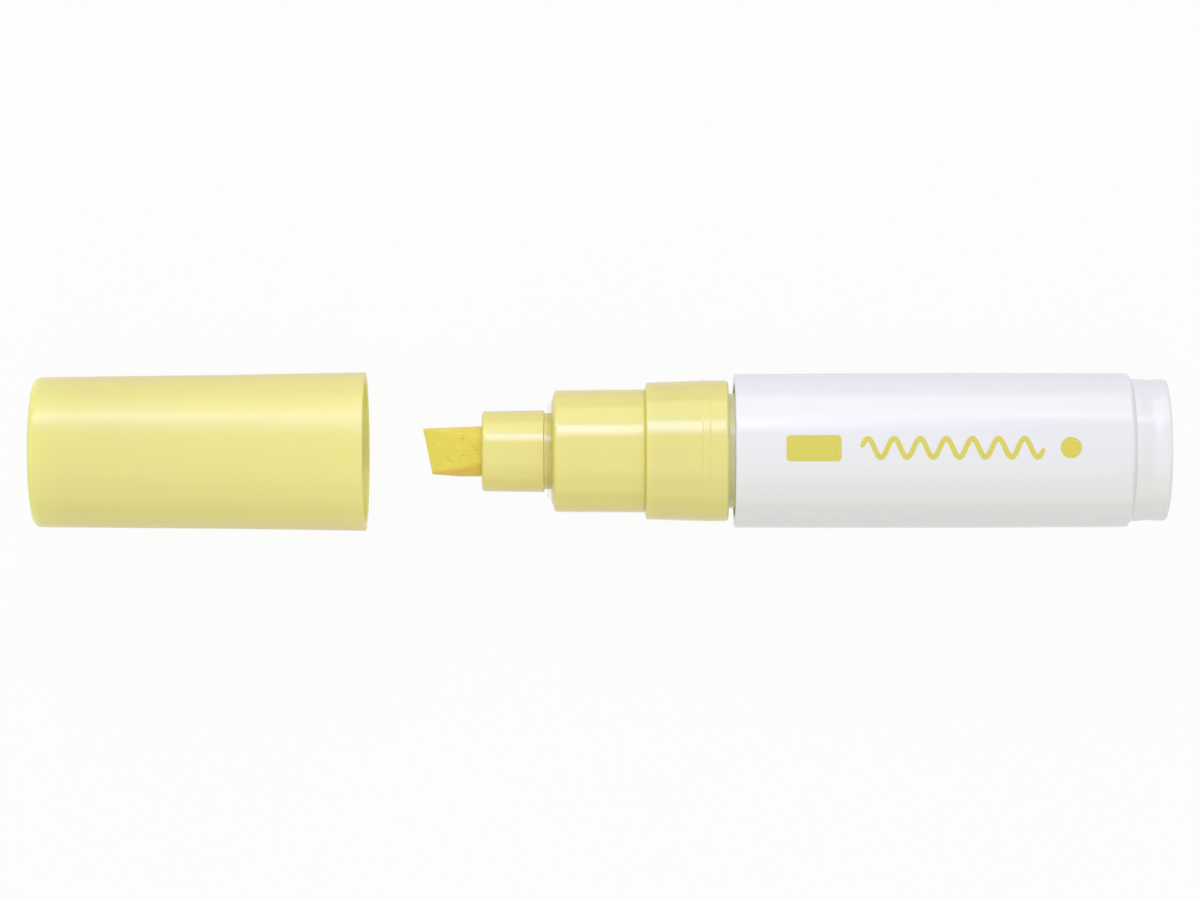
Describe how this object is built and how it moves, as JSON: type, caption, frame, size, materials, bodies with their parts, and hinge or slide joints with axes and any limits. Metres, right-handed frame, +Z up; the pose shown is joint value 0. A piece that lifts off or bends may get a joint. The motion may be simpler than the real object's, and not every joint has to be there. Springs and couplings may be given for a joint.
{
  "type": "paint marker",
  "caption": "Broad-tip paint marker lying with its cap pulled off: chisel felt nib, stepped collar, white barrel and a spring valve inside.",
  "frame": {"origin": "under the middle of the whole length, marker and pulled-off cap together, on the surface that they lie on", "axes": "+X along the marker from the nib to the tail, +Z up"},
  "size_m": [0.1872, 0.0262, 0.0263],
  "materials": {
    "yellow_plastic": "glossy moulded polypropylene, pale yellow",
    "white_plastic": "glossy moulded polypropylene, cool white",
    "natural_plastic": "natural polyethylene, satin",
    "clear_plastic": "translucent soft polyethylene",
    "nib_felt": "pressed polyester felt soaked with yellow paint",
    "black_rubber": "smooth black rubber",
    "spring_steel": "bright drawn spring wire",
    "ball_steel": "polished steel ball"
  },
  "bodies": {
    "marker": {"barrel": "white_plastic", "front_section": "yellow_plastic", "nose": "yellow_plastic", "seal_ring": "clear_plastic", "valve_body": "natural_plastic", "valve_spring": "spring_steel", "spring_cage": "natural_plastic", "plug_seal": "black_rubber"},
    "cap": {"cap_shell": "yellow_plastic", "inner_cap": "natural_plastic"},
    "nib_unit": {"nib": "nib_felt", "valve_stem": "natural_plastic", "stem_seal": "black_rubber"},
    "ball": {"mixing_ball": "ball_steel"}
  },
  "joints": [
    {"name": "cap_slide", "type": "slide", "parent": "marker", "child": "cap", "axis": [1, 0, 0], "range_m": [0, 0.0607]},
    {"name": "nib_pump", "type": "slide", "parent": "marker", "child": "nib_unit", "axis": [1, 0, 0], "range_m": [0, 0.0025], "stiffness_N_per_m": 300, "springref_m": -0.004, "deforming": ["valve_spring"]},
    {"name": "ball_roll", "type": "slide", "parent": "marker", "child": "ball", "axis": [1, 0, 0], "range_m": [-0.023, 0.024]}
  ]
}
